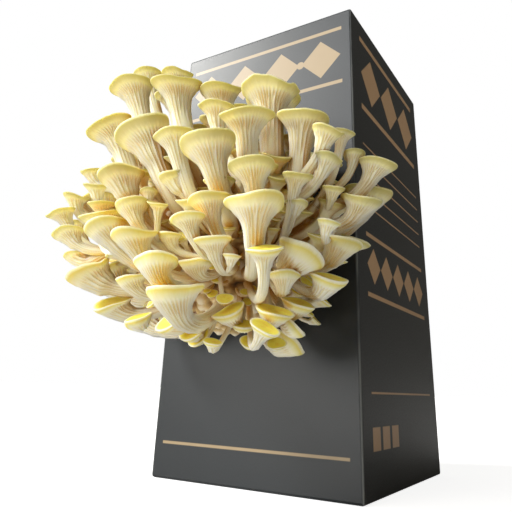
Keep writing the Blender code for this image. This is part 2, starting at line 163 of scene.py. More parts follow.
# One row for each mushroom, roughly from the top down, in millimetres and degrees: the cap's
# centre across, out from the carton's face and up; the cap's width; the side its top leans to (0
# is the front and 90 is +X) and how far; the rim's waviness; the flare's fullness; how low its
# foot is
MUSHROOMS = (
    (-23, 42, 188.5, 15.5, 11, 8, 0.12, 0.2, 0.30),
    (-38, 48, 189.5, 15.5, -60, 12, 0.10, 0.2, 0.30),
    (-4, 18, 172, 27.0, -20, 4, 0.10, 0.2, 0.30),
    (-27, 66, 170, 20.5, -45, 17, 0.10, 0.3, 0.40),
    (22, 26, 168, 26.0, 20, 4, 0.10, 0.2, 0.30),
    (-4, 62, 166.5, 22.0, 28, 15, 0.10, 0.15, 0.40),
    (12, 52, 164, 20.0, 18, 13, 0.08, 0.15, 0.35),
    (2, 36, 160, 20.0, 0, 6, 0.10, 0.2, 0.30),
    (39, 54, 156, 24.0, 34, 12, 0.18, 0.2, 0.40),
    (-46, 40, 147, 24.0, -60, 8, 0.10, 0.2, 0.30),
    (-40, 64, 152.5, 22.0, -60, 27, 0.10, 0.3, 0.40),
    (-60, 18, 146, 28.0, -90, 10, 0.10, 0.3, 0.30),
    (41.5, 35, 141, 19.0, 30, 6, 0.10, 0.2, 0.30),
    (52, 50, 141.5, 20.5, 53, 13, 0.10, 0.2, 0.45),
    (-7.5, 74, 137, 24.0, -81, 28, 0.08, 0.6, 0.42),
    (37, 68, 137, 20.5, 13, 10, 0.08, 0.0, 0.50),
    (64, 40, 136.5, 10.0, 52, 10, 0.10, 0.15, 0.34),
    (10, 76, 131.5, 16.5, -44, 8, 0.08, 0.15, 0.45),
    (-69, 38, 129, 26.0, -80, 12, 0.10, 0.3, 0.30),
    (29, 78, 121.5, 21.0, -105, 18, 0.10, 0.15, 0.33),
    (73.5, 30, 125, 15.0, 115, 13, 0.08, 0.2, 0.08),
    (-16, 76, 120, 18.5, -70, 13, 0.08, 0.75, 0.40),
    (62, 10, 122, 22.0, 90, 10, 0.08, 0.3, 0.30),
    (-70, 61, 117, 13.5, -20, 23, 0.10, 0.3, 0.30),
    (43.5, 72, 113, 17.0, -94, 11, 0.08, 0.1, 0.50),
    (52.5, 56, 114, 11.5, 92, 8, 0.08, 0.15, 0.45),
    (-80, 42, 116, 14.0, -80, 16, 0.10, 0.3, 0.25),
    (68.5, 34, 110, 17.0, 59, 14, 0.10, 0.2, 0.05),
    (-32.5, 68, 108, 18.5, -1, 15, 0.08, 0.15, 0.34),
    (-54, 67, 103, 13.5, -81, 21, 0.10, 0.45, 0.10),
    (-7.5, 76, 104.5, 13.5, -125, 25, 0.08, 0.3, 0.40),
    (28.5, 76, 102.5, 15.0, -60, 10, 0.08, 0.2, 0.34),
    (-21, 74, 99.5, 20.0, -68, 16, 0.08, 0.3, 0.40),
    (48, 76, 97.5, 20.0, -139, 7, 0.08, 0.0, 0.52),
    (24.5, 81, 94.5, 12.0, -76, 13, 0.08, 0.2, 0.30),
    (-64, 4, 94, 22.0, -90, 26, 0.08, 0.45, 0.25),
    (61, 38, 93, 15.5, 116, 11, 0.08, 0.6, 0.30),
    (0.5, 81, 92, 17.5, -30, 7, 0.08, 0.3, 0.45),
    (-59, 34, 91, 25.0, -80, 24, 0.10, 0.45, 0.40),
    (32, 76, 87.5, 12.5, -12, 7, 0.08, 0.2, 0.28),
    (-43, 62, 87, 20.5, -50, 32, 0.14, 0.9, 0.30),
    (53, 54, 86, 17.5, 140, 31, 0.10, 0.9, 0.15),
    (52, 76, 82.5, 12.5, 20, 22, 0.06, 0.2, 0.55),
    (13.5, 82, 80, 16.0, -133, 13, 0.08, 0.3, 0.30),
    (17.5, 66, 82.5, 12.0, -162, 4, 0.08, 0.3, 0.15),
    (59, 44, 79, 14.5, 60, 22, 0.06, 0.6, 0.20),
    (-11.5, 68, 79, 13.0, -56, 8, 0.08, 0.3, 0.30),
    (49, 58, 77.5, 11.5, -108, 5, 0.08, 0.3, 0.16),
    (-49, 19, 74, 22.0, -80, 34, 0.08, 0.45, 0.60),
    (-35, 53, 74, 17.0, 0, 29, 0.08, 0.45, 0.30),
    (46, 42, 71, 13.0, 70, 25, 0.06, 0.45, 0.30),
    (20.5, 80, 70, 20.0, -77, 6, 0.10, 0.2, 0.60),
    (43.5, 54, 66.5, 13.5, 60, 25, 0.06, 0.3, 0.10),
    (25.5, 56, 67, 13.5, -15, 32, 0.06, 0.3, 0.30),
    (45, 62, 60, 10.5, 70, 35, 0.06, 0.3, 0.60),
    (34, 26, 59, 14.0, 130, 35, 0.10, 0.75, 1.00),
)

# The young mushrooms on each numbered mushroom, in rows like those, but ending with the share of
# the way up its stem where they fork from it
YOUNG = {
    1: ((-24, 47, 174, 11.5, -60, 10, 0.06, 0.3, 0.50),),
    10: ((-64, 52, 140, 11.0, 5, 14, 0.06, 0.75, 0.50),),
    14: (
        (60.5, 48, 123, 12.5, 92, 8, 0.08, 0.45, 0.30),
        (64, 54, 131, 13.0, 80, 15, 0.12, 0.3, 0.50),
    ),
    16: ((19, 62, 149.5, 15.0, 47, 16, 0.14, 0.45, 0.45),),
    17: ((65.5, 33, 129, 9.5, -146, 13, 0.06, 0.2, 0.35),),
    18: ((7.5, 71.5, 117, 12.0, -45, 10, 0.05, 0.9, 0.40),),
    19: (
        (-71, 53, 127, 13.0, 80, 14, 0.06, 0.45, 0.45),
        (-52, 58, 128, 11.5, 30, 15, 0.06, 0.6, 0.50),
    ),
    20: ((28.5, 70, 111.5, 12.5, 3, 8, 0.06, 0.2, 0.40),),
    21: ((61, 42, 113, 8.5, 70, 14, 0.06, 0.6, 0.30),),
    26: ((50.5, 52, 105, 8.5, 160, 10, 0.06, 0.6, 0.30),),
    28: ((65.5, 57, 94.5, 8.5, 112, 13, 0.08, 0.45, 0.50),),
    29: ((-36, 66, 114, 13.0, 25, 12, 0.06, 0.3, 0.50),),
    30: ((-57, 58, 96, 13.5, -35, 15, 0.08, 0.6, 0.45),),
    31: (
        (3.5, 74, 105.5, 8.5, 49, 22, 0.06, 0.3, 0.50),
        (-4.5, 72, 112, 7.0, -124, 12, 0.05, 0.3, 0.25),
    ),
    33: ((-41, 62, 103, 8.0, 5, 11, 0.06, 0.6, 0.70),),
    35: ((9, 72, 93, 9.0, 40, 4, 0.05, 0.75, 0.30),),
    40: ((37, 72, 82.5, 6.5, 55, 9, 0.06, 0.6, 0.50),),
    45: ((25, 58, 71, 6.5, 35, 46, 0.03, 0.3, 0.30),),
    46: ((51, 36, 76, 9.5, 125, 8, 0.06, 0.6, 0.30),),
    50: ((-16, 58, 66, 10.5, -10, 27, 0.06, 0.75, 0.40),),
    51: ((44, 40, 63, 11.5, 115, 42, 0.08, 0.75, 0.35),),
    52: (
        (7, 66, 63, 11.0, -10, 46, 0.05, 0.75, 0.35),
        (11, 58, 60, 9.5, 0, 50, 0.05, 0.75, 0.15),
        (10, 53, 59, 9.0, 5, 62, 0.04, 0.6, 0.05),
    ),
    54: (
        (28, 50, 63, 10.0, 45, 24, 0.05, 0.6, 0.40),
        (21, 58, 56, 7.0, 50, 23, 0.04, 0.6, 0.15),
    ),
    55: (
        (29, 46, 57, 8.0, 35, 42, 0.03, 0.45, 0.30),
        (35, 38, 57, 7.5, 30, 42, 0.03, 0.45, 0.30),
    ),
}

# Mushrooms at the back and deep in the cluster, which take fewer rings
UNSEEN = (3, 5, 8, 12, 19, 23, 36, 49)

# The small pins that crowd the clump between the stems: how many even places for them a whole
# ball has, the parts of it without them, their lengths and widths in millimetres, how they turn
# up and how they lean in degrees, more so below, and how their stems bend
PIN_COUNT = 520
PINS_BACK = 0.25
LOWEST_PIN = -0.75
PIN_AIM = 0.1
PIN_GILLS = 4
PIN_LENGTH = (4.0, 26.0)
PIN_FULL_LENGTH_FROM = 1.25
PIN_WIDTH = 2.5
PIN_WIDENING = 0.30
PIN_VARIETY = (0.7, 1.4)
PIN_LIFT = 0.5
PIN_STRAY = 0.3
PIN_LEAN = (5, 35)
PIN_LEAN_BELOW = 45
PIN_WAVE = 0.05
PIN_FULLNESS = 0.5
PIN_ROOT = 0.001
PIN_FOOT_PULL = 0.3
PIN_CAP_PULL = 0.4

# The clump's lumps: how fine its grid is, the knobs as (size in millimetres, weight), the wide
# swells between them, their height in metres, and how the material reads it, from 0 to 1
CLUMP_ROUND = 200
CLUMP_RINGS = 120
LUMP_LEVEL = 0.9
KNOBS = ((4.2, 1.2), (2.0, 0.4))
SWELL_SIZE = 13
SWELL_WEIGHT = 0.6
LUMP_HEIGHT = 0.0026
LUMP_MIDDLE = 0.5
LUMP_CONTRAST = 0.6


def unit(vectors):
    return vectors / np.linalg.norm(vectors, axis=-1, keepdims=True)


def smoothstep(low, high, values):
    share = np.clip((values - low) / (high - low), 0.0, 1.0)
    return share * share * (3.0 - 2.0 * share)


def through(points, steps):
    """A smooth line through the points, with that many steps between each two."""
    points = np.asarray(points, float)
    ends = np.vstack((2 * points[0] - points[1], points, 2 * points[-1] - points[-2]))
    t = np.linspace(0.0, 1.0, steps, endpoint=False)[:, None]
    line = []
    for a, b, c, d in zip(ends, ends[1:], ends[2:], ends[3:]):
        line.append(
            b + t * (c - a) / 2 + t**2 * (a - 2.5 * b + 2 * c - d / 2)
            + t**3 * (1.5 * b - a / 2 - 1.5 * c + d / 2)
        )
    return np.vstack(line + [points[-1:]])


def cap_centre(row):
    """The middle of the cap's rim, in metres."""
    return np.array((row[0] * MM, FRONT_Y - row[1] * MM, row[2] * MM))


def cap_axis(row):
    """The way the cap's top faces."""
    towards = math.radians(row[4])
    lean = math.radians(row[5])
    return np.array((
        math.sin(lean) * math.sin(towards), -math.sin(lean) * math.cos(towards), math.cos(lean),
    ))


def on_clump(towards):
    """The point of the clump that lies towards a place in front of it, and its normal."""
    away = towards - CLUMP_CENTRE
    away[1] = min(away[1], FURTHEST_BACK)
    point = away / np.linalg.norm(away / CLUMP_SIZE)
    return CLUMP_CENTRE + point, unit(point / CLUMP_SIZE**2)


def along(curve, share):
    """Places along a curve of four control points, at shares of the way."""
    share = np.asarray(share, float)[..., None]
    rest = 1.0 - share
    weights = (rest**3, 3 * share * rest**2, 3 * share**2 * rest, share**3)
    return sum(weight * point for weight, point in zip(weights, curve))


def spine(row):
    """A stem's curve from its foot on the clump to its cap, as four control points."""
    centre = cap_centre(row)
    reach = np.linalg.norm(centre - CLUMP_CENTRE)
    point, normal = on_clump(centre + np.array((ROOTS_ASIDE, 0.0, -row[8] * reach)))
    foot = point + normal * FOOT_GAP
    span = np.linalg.norm(centre - foot)
    return (foot, foot + normal * span * FOOT_PULL, centre - cap_axis(row) * span * CAP_PULL, centre)


def forked_spine(row, stem):
    """The same for a young mushroom, whose foot is inside the stem that it forks from."""
    centre = cap_centre(row)
    foot = along(stem, row[8])
    span = np.linalg.norm(centre - foot)
    start = unit(centre - foot - np.array((0.0, 0.0, FORK_SAG * span)))
    return (
        foot, foot + start * span * FORK_PULL,
        centre - cap_axis(row) * span * FORK_CAP_PULL, centre,
    )


class Stem:
    """Places and directions along a spine, by distance down from the cap."""

    def __init__(self, curve):
        self.points = along(curve, np.linspace(1.0, 0.0, SPINE_STEPS + 1))
        steps = np.linalg.norm(np.diff(self.points, axis=0), axis=1)
        self.distances = np.concatenate(([0.0], np.cumsum(steps)))
        self.length = self.distances[-1]
        self.foot_axis = unit(curve[1] - curve[0])

    def at(self, distance):
        """The places that far down, straight on past the foot."""
        places = [np.interp(distance, self.distances, self.points[:, k]) for k in range(3)]
        below = np.maximum(distance - self.length, 0.0)[:, None]
        return np.stack(places, axis=-1) - self.foot_axis * below

    def direction(self, distance):
        """The way up the stem."""
        near = SLOPE_SPAN * self.length
        return unit(self.at(np.maximum(distance - near, 0.0)) - self.at(distance + near))

    def frames(self, axis, distance, share, radius):
        """The way each ring of a profile faces, and its first side. From the cap down, a ring
        turns from the cap's axis to the stem's, so slowly where it is wide that no two meet."""
        wanted = np.where(
            distance[:, None] > 0.0, self.direction(np.maximum(distance, 0.0)), axis
        )
        places = self.at(np.maximum(distance, 0.0))
        ups = np.empty(wanted.shape)
        sides = np.empty(wanted.shape)
        facing, above, wide = axis, places[-1], 1.0
        side = unit(np.cross((0.0, 1.0, 0.1), axis))
        for k in reversed(range(len(wanted))):
            turn = math.acos(min(max(float(facing @ wanted[k]), -1.0), 1.0))
            most = FASTEST_TURN * max(float((above - places[k]) @ facing), 0.0) / (wide * radius)
            if turn > LEAST_TURN:
                part = min(1.0, most / turn)
                facing = unit(
                    math.sin((1.0 - part) * turn) * facing + math.sin(part * turn) * wanted[k]
                )
            side = unit(side - facing * (side @ facing))
            ups[k], sides[k] = facing, side
            above, wide = places[k], share[k]
        return places, ups, sides


class Shells:
    """Closed lofted shells gathered into one mesh, with what the materials read at each point."""

    FIELDS = ("cap", "gill", "tone", "ripe")

    def __init__(self):
        self.places = []
        self.quads = []
        self.tris = []
        self.fields = {name: [] for name in self.FIELDS}
        self.fibres = []
        self.count = 0

    def add(self, grid, low_tip, high_tip, fields, fibre):
        """A loft of rings: grid is (rings, points round, 3). Its two ends close on the tips."""
        rings, sides, _ = grid.shape
        index = self.count + np.arange(rings * sides).reshape(rings, sides)
        after = np.roll(index, -1, axis=1)
        self.quads.append(
            np.stack((index[:-1], after[:-1], after[1:], index[1:]), axis=-1).reshape(-1, 4)
        )
        low, high = self.count + rings * sides, self.count + rings * sides + 1
        tip = np.full(sides, low)
        self.tris.append(np.stack((after[0], index[0], tip), axis=-1))
        self.tris.append(np.stack((index[-1], after[-1], tip + 1), axis=-1))
        self.places.append(np.vstack((grid.reshape(-1, 3), low_tip, high_tip)))
        for name in self.FIELDS:
            values = np.broadcast_to(fields[name], (rings, sides))
            self.fields[name].append(
                np.concatenate((values.ravel(), values[:1, 0], values[-1:, 0]))
            )
        self.fibres.append(np.vstack((fibre.reshape(-1, 3), fibre[0, 0], fibre[-1, 0])))
        self.count = high + 1

    def object(self, name):
        places = np.vstack(self.places)
        quads = np.vstack(self.quads)
        tris = np.vstack(self.tris)
        mesh = bpy.data.meshes.new(name)
        mesh.vertices.add(len(places))
        mesh.vertices.foreach_set("co", places.astype(np.float32).ravel())
        corners = np.concatenate((quads.ravel(), tris.ravel()))
        starts = np.concatenate(
            (np.arange(len(quads)) * 4, 4 * len(quads) + np.arange(len(tris)) * 3)
        )
        mesh.loops.add(len(corners))
        mesh.loops.foreach_set("vertex_index", corners.astype(np.int32))
        mesh.polygons.add(len(starts))
        mesh.polygons.foreach_set("loop_start", starts.astype(np.int32))
        mesh.update(calc_edges=True)
        for field, values in self.fields.items():
            attribute = mesh.attributes.new(field, "FLOAT", "POINT")
            attribute.data.foreach_set("value", np.concatenate(values).astype(np.float32))
        attribute = mesh.attributes.new("fibre", "FLOAT_VECTOR", "POINT")
        attribute.data.foreach_set("vector", np.vstack(self.fibres).astype(np.float32).ravel())
        mesh.shade_smooth()
        obj = bpy.data.objects.new(name, mesh)
        bpy.context.scene.collection.objects.link(obj)
        return obj


def ripple(angles, phase, waves):
    """Waves round a ring, each a count, how the phase turns it, and a size."""
    return sum(size * np.cos(count * angles + turns * phase) for count, turns, size in waves)


def outline(row, stem, flare, rooted):
    """The points of a mushroom's outline, from below its foot to the middle of its top: the
    distance down from the cap, and the radius in cap radii."""
    radius, fullness = row[3] * MM / 2, row[7]
    line = [(stem.length + rooted, FOOT_RADIUS)]
    line += [(flare + (stem.length - flare) * share, r) for share, r in STEM]
    line += [(depth * flare / FLARE_LENGTH, r) for depth, r in UNDER_CAP]
    line += [(depth * radius, r) for depth, r in TOP]
    line = np.array(line)
    full = line[:, 1] > FULLNESS_FROM
    full[0] = False
    line[full, 1] += FULLNESS_GAIN * fullness * line[full, 1] * (1.0 - line[full, 1])
    stout = STOUTEST * min(max((row[2] * MM - STOUT_FROM) / STOUT_OVER, 0.0), 1.0)
    line[:, 1] += stout * (1.0 - line[:, 1]) ** 2 * (line[:, 0] > 0.0)
    return line


def smooth_rings(row, stem, phase, profile, on_top, angles):
    """The rings of a mushroom without its gills, waved towards the rim, and the last one's
    middle."""
    radius, wave = row[3] * MM / 2, row[6]
    centre, axis = cap_centre(row), cap_axis(row)
    distance, share = profile[:, 0], profile[:, 1]
    places, up, side = stem.frames(axis, np.where(on_top, 0.0, distance), share, radius)
    other = np.cross(up, side)
    straight = (on_top | (distance < 0.0))[:, None]
    middle = np.where(straight, centre - axis * distance[:, None], places)

    spread = np.maximum(0.0, (share - SPREAD_FROM) / (1.0 - SPREAD_FROM))
    spread = np.where(on_top, np.minimum(spread, 1.0) ** TOP_SPREAD_POWER, spread)[:, None]
    outward = centre - CLUMP_CENTRE
    outward[2] = 0.0
    shift = unit(outward - axis * outward.dot(axis)) * CAP_SHIFT * radius
    middle = middle + shift * spread

    frilly = max(wave - FRILLY_FROM, 0.0)
    bumps = ripple(angles, phase, RIM_BUMPS)
    bumps = bumps + FRILLS_OUT * frilly * ripple(angles, phase, FRILLS)
    waves = ripple(angles, phase, RIM_WAVES)
    frills = ripple(angles, 2 * phase, FRILLS)
    out = share[:, None] * radius * (1.0 + spread * bumps)
    rise = wave * spread**WAVE_POWER * waves + FRILLS_UP * frilly * spread**FRILL_POWER * frills
    flat = (
        side[:, None] * np.cos(angles)[None, :, None]
        + other[:, None] * np.sin(angles)[None, :, None]
    )
    grid = middle[:, None] + flat * out[..., None] + up[:, None] * (radius * rise)[..., None]
    return grid, middle[-1]


def gill_reaches(chance, gills):
    """How far down each point's gill runs: every other gill is short."""
    short = chance.uniform(*SHORT_GILLS, gills)
    long = chance.uniform(*LONG_GILLS, gills)
    return np.repeat(np.where(np.arange(gills) % 2, short, long), POINTS_A_GILL)


def add_mushroom(shells, row, curve, phase, gills, steps, rooted=ROOTED):
    """Lofts one mushroom from its foot to the dish on its cap, with its gills raised."""
    radius = row[3] * MM / 2
    stem = Stem(curve)
    flare = min(FLARE_LENGTH * radius, stem.length * LONGEST_FLARE)
    chance = np.random.default_rng(int(phase * SEEDS_A_TURN) % SEEDS)
    line = outline(row, stem, flare, rooted)
    profile = through(line, steps)
    on_top = np.arange(len(profile)) > steps * (len(line) - len(TOP))
    distance, share = profile[:, 0], profile[:, 1]
    below = distance[:, None] / radius

    sides = gills * POINTS_A_GILL
    stray = np.repeat(chance.uniform(-GILL_STRAY, GILL_STRAY, gills), POINTS_A_GILL)
    angles = np.arange(sides) * math.tau / sides + stray * math.tau / gills
    grid, tip = smooth_rings(row, stem, phase, profile, on_top, angles)

    reach = gill_reaches(chance, gills)
    raised = 1.0 - smoothstep(GILL_TAPER * reach, reach, below)
    down = np.exp(-np.maximum(distance - flare, 0.0) / (STEM_FADE * radius))
    depth = (1.0 - smoothstep(*GILLS_END, share)) * (STEM_GILLS + (1.0 - STEM_GILLS) * down)
    depth = np.where(on_top, 0.0, depth)[:, None]
    crest = np.tile(CREST, gills)
    normal = np.cross(
        np.roll(grid, -1, axis=1) - np.roll(grid, 1, axis=1), np.gradient(grid, axis=0)
    )
    normal = normal / np.maximum(np.linalg.norm(normal, axis=-1, keepdims=True), 1e-12)
    height = GILL_DEPTH * radius * depth * (crest * raised - CREST_LEVEL)
    grid = grid + normal * height[..., None]

    tone = chance.uniform()
    cap = np.where(on_top, 1.0 + TOP_SPAN * (1.0 - share), share)
    golden = (PALE_ABOVE - row[2]) / (PALE_ABOVE - GOLDEN_BELOW)
    fields = {
        "cap": cap[:, None], "gill": 1.0 - (1.0 - crest) * raised * depth, "tone": tone,
        "ripe": float(np.clip(golden, 0.0, 1.0)),
    }
    fibre = np.empty(grid.shape)
    fibre[..., 0] = np.cos(angles) * FIBRES_ROUND + FIBRES_APART * tone
    fibre[..., 1] = np.sin(angles) * FIBRES_ROUND + phase
    fibre[..., 2] = below * FIBRES_DOWN
    foot = stem.at(np.array([stem.length + rooted]))[0]
    shells.add(grid, foot, tip, fields, fibre)


def gill_count(row, fewest):
    """More gills on a wider cap."""
    return int(round(fewest + row[3]))


def mushroom_object(number, row):
    shells = Shells()
    curve = spine(row)
    phase = GOLDEN_ANGLE * number
    steps = 1 if number in UNSEEN else 2
    add_mushroom(shells, row, curve, phase, gill_count(row, MUSHROOM_GILLS), steps)
    for k, young in enumerate(YOUNG.get(number, ()), start=1):
        fork = forked_spine(young, curve)
        add_mushroom(shells, young, fork, phase + k, gill_count(young, YOUNG_GILLS), 2, 0.0)
    return shells.object(f"oyster_{number:02d}")


def pin_rows():
    """Pins all over the clump's front, each a short stem with a small round cap."""
    for k in range(PIN_COUNT):
        high = 1.0 - 2.0 * (k + 0.5) / PIN_COUNT
        phase = GOLDEN_ANGLE * k
        level = math.sqrt(1.0 - high * high)
        away = np.array((math.cos(phase) * level, math.sin(phase) * level, high))
        if away[1] > PINS_BACK or high < LOWEST_PIN:
            continue
        chance = np.random.default_rng(k)
        point, normal = on_clump(CLUMP_CENTRE + away * PIN_AIM)
        length = chance.uniform(*PIN_LENGTH) * min(1.0, PIN_FULL_LENGTH_FROM + high)
        width = PIN_WIDTH + PIN_WIDENING * length * chance.uniform(*PIN_VARIETY)
        lift = np.array((0.0, 0.0, PIN_LIFT)) + chance.uniform(-PIN_STRAY, PIN_STRAY, 3)
        tip = point + unit(normal + lift) * length * MM
        lean = chance.uniform(*PIN_LEAN) + PIN_LEAN_BELOW * max(0.0, -high)
        towards = math.degrees(math.atan2(normal[0], -normal[1]))
        place = (tip[0] / MM, (FRONT_Y - tip[1]) / MM, tip[2] / MM)
        row = (*place, width, towards, lean, PIN_WAVE, PIN_FULLNESS)
        yield row, point, normal, phase


def add_pins():
    shells = Shells()
    for row, point, normal, phase in pin_rows():
        centre = cap_centre(row)
        span = np.linalg.norm(centre - point)
        curve = (
            point - normal * PIN_ROOT, point + normal * span * PIN_FOOT_PULL,
            centre - cap_axis(row) * span * PIN_CAP_PULL, centre,
        )
        add_mushroom(shells, row, curve, phase, PIN_GILLS, 1)
    return shells.object("pins")


def lump(place):
    """How far the clump swells at a place in millimetres."""
    swollen = LUMP_LEVEL
    for size, weight in KNOBS:
        swollen -= weight * noise.voronoi(place / size)[0][0]
    return swollen + SWELL_WEIGHT * noise.noise(place / SWELL_SIZE)


def add_clump():
    """The lumpy clump: a grid of the ellipsoid's own angles, swollen into knobs by noise."""
    high = np.linspace(0.0, math.pi, CLUMP_RINGS + 2)[1:-1]
    turn = np.arange(CLUMP_ROUND) * math.tau / CLUMP_ROUND
    ball = np.stack(
        (
            np.sin(high)[:, None] * np.cos(turn), np.sin(high)[:, None] * np.sin(turn),
            np.repeat(np.cos(high)[:, None], CLUMP_ROUND, axis=1),
        ),
        axis=-1,
    )[::-1]
    grid = CLUMP_CENTRE + ball * CLUMP_SIZE
    lumps = np.empty(grid.shape[:2])
    for i in range(CLUMP_RINGS):
        for j in range(CLUMP_ROUND):
            lumps[i, j] = lump(Vector(grid[i, j]) * TO_MM)
    normal = unit(ball / CLUMP_SIZE)
    grid = grid + normal * lumps[..., None] * LUMP_HEIGHT
    grid[..., 1] = np.minimum(grid[..., 1], FRONT_Y + CARD)
    height = np.clip(LUMP_MIDDLE + LUMP_CONTRAST * lumps, 0.0, 1.0)
    fields = {"cap": 0.0, "gill": height, "tone": 0.0, "ripe": 0.0}
    shells = Shells()
    shells.add(grid, grid[0].mean(axis=0), grid[-1].mean(axis=0), fields, grid)
    return shells.object("clump")


class Graph:
    """Builds one material's nodes. Values are numbers, colours or other nodes' outputs."""

    def __init__(self, name):
        self.material = bpy.data.materials.new(name)
        self.material.use_nodes = True
        self.tree = self.material.node_tree
        self.shader = self.tree.nodes["Principled BSDF"]

    def put(self, socket, value):
        if isinstance(value, bpy.types.NodeSocket):
            self.tree.links.new(value, socket)
        elif hasattr(value, "__len__") and len(value) == 3 and socket.type == "RGBA":
            socket.default_value = (*value, 1.0)
        else:
            socket.default_value = value

    def node(self, kind, inputs=(), **settings):
        node = self.tree.nodes.new("ShaderNode" + kind)
        for name, value in settings.items():
            setattr(node, name, value)
        for name, value in dict(inputs).items():
            self.put(node.inputs[name], value)
        return node

    def math(self, operation, a, b=0.0, c=0.0):
        inputs = {0: a, 1: b, 2: c} if operation in ("WRAP", "MULTIPLY_ADD") else {0: a, 1: b}
        return self.node("Math", inputs, operation=operation).outputs[0]

    def between(self, value, low, high, to_low=0.0, to_high=1.0):
        """A smooth step: to_low at low, to_high at high."""
        inputs = {
            "Value": value, "From Min": low, "From Max": high, "To Min": to_low, "To Max": to_high,
        }
        return self.node("MapRange", inputs, interpolation_type="SMOOTHSTEP").outputs[0]

    def field(self, name, output="Fac"):
        return self.node("Attribute", attribute_name=name).outputs[output]

    def noise(self, place, scale, detail=3.0, roughness=0.5):
        inputs = {"Vector": place, "Scale": scale, "Detail": detail, "Roughness": roughness}
        return self.node("TexNoise", inputs).outputs[0]

    def mix(self, share, a, b, blend="MIX"):
        """Colour a with that share of b."""
        node = self.node("Mix", data_type="RGBA", blend_type=blend)
        self.put(node.inputs[0], share)
        self.put(node.inputs[6], a)
        self.put(node.inputs[7], b)
        return node.outputs[2]

    def ramp(self, value, stops):
        """A colour that runs through the stops, each a value and a colour."""
        node = self.node("ValToRGB", {0: value})
        elements = node.color_ramp.elements
        while len(elements) < len(stops):
            elements.new(0.5)
        for element, (place, colour) in zip(elements, stops):
            element.position = place
            element.color = (*colour, 1.0)
        return node.outputs[0]

    def place(self):
        return self.node("TexCoord").outputs["Object"]

    def bump(self, height, distance, strength=1.0):
        inputs = {"Height": height, "Distance": distance, "Strength": strength}
        self.put(self.shader.inputs["Normal"], self.node("Bump", inputs).outputs[0])

    def set(self, **values):
        """Sets or links the shader's inputs, their names' spaces written as underscores."""
        for name, value in values.items():
            self.put(self.shader.inputs[name.replace("_", " ")], value)


def srgb(red, green, blue):
    """A colour as read from a picture, from 0 to 255, as the shader's linear one."""
    shares = (value / 255 for value in (red, green, blue))
    return tuple(s / 12.92 if s <= 0.04045 else ((s + 0.055) / 1.055) ** 2.4 for s in shares)


# The flesh's colours, and the ones that its darker parts are multiplied by: painted shade in the
# gill valleys, amber painted shade where the flesh is enclosed and deep in the cluster, and random
# mottle and tone
CREAM = srgb(254, 250, 232)
WARM_CREAM = srgb(247, 240, 192)
KHAKI = srgb(220, 211, 152)
OLIVE = srgb(202, 193, 120)
LEMON = srgb(238, 222, 120)
YELLOW = srgb(255, 238, 98)
ORANGE = srgb(246, 204, 62)
AMBER_PAINTED_SHADE = srgb(226, 180, 88)
GILL_VALLEY_PAINTED_SHADE = srgb(240, 228, 188)
MOTTLE_SHADE = srgb(246, 234, 200)
TONE_SHADE = srgb(250, 238, 200)

# Distances in metres: how near other flesh encloses a place, for the amber painted shade there,
# and how far from the clump's middle the amber painted shade deep in the cluster ends
ENCLOSED = 0.013
DEEP_SHADE_SPAN = (0.036, 0.056)


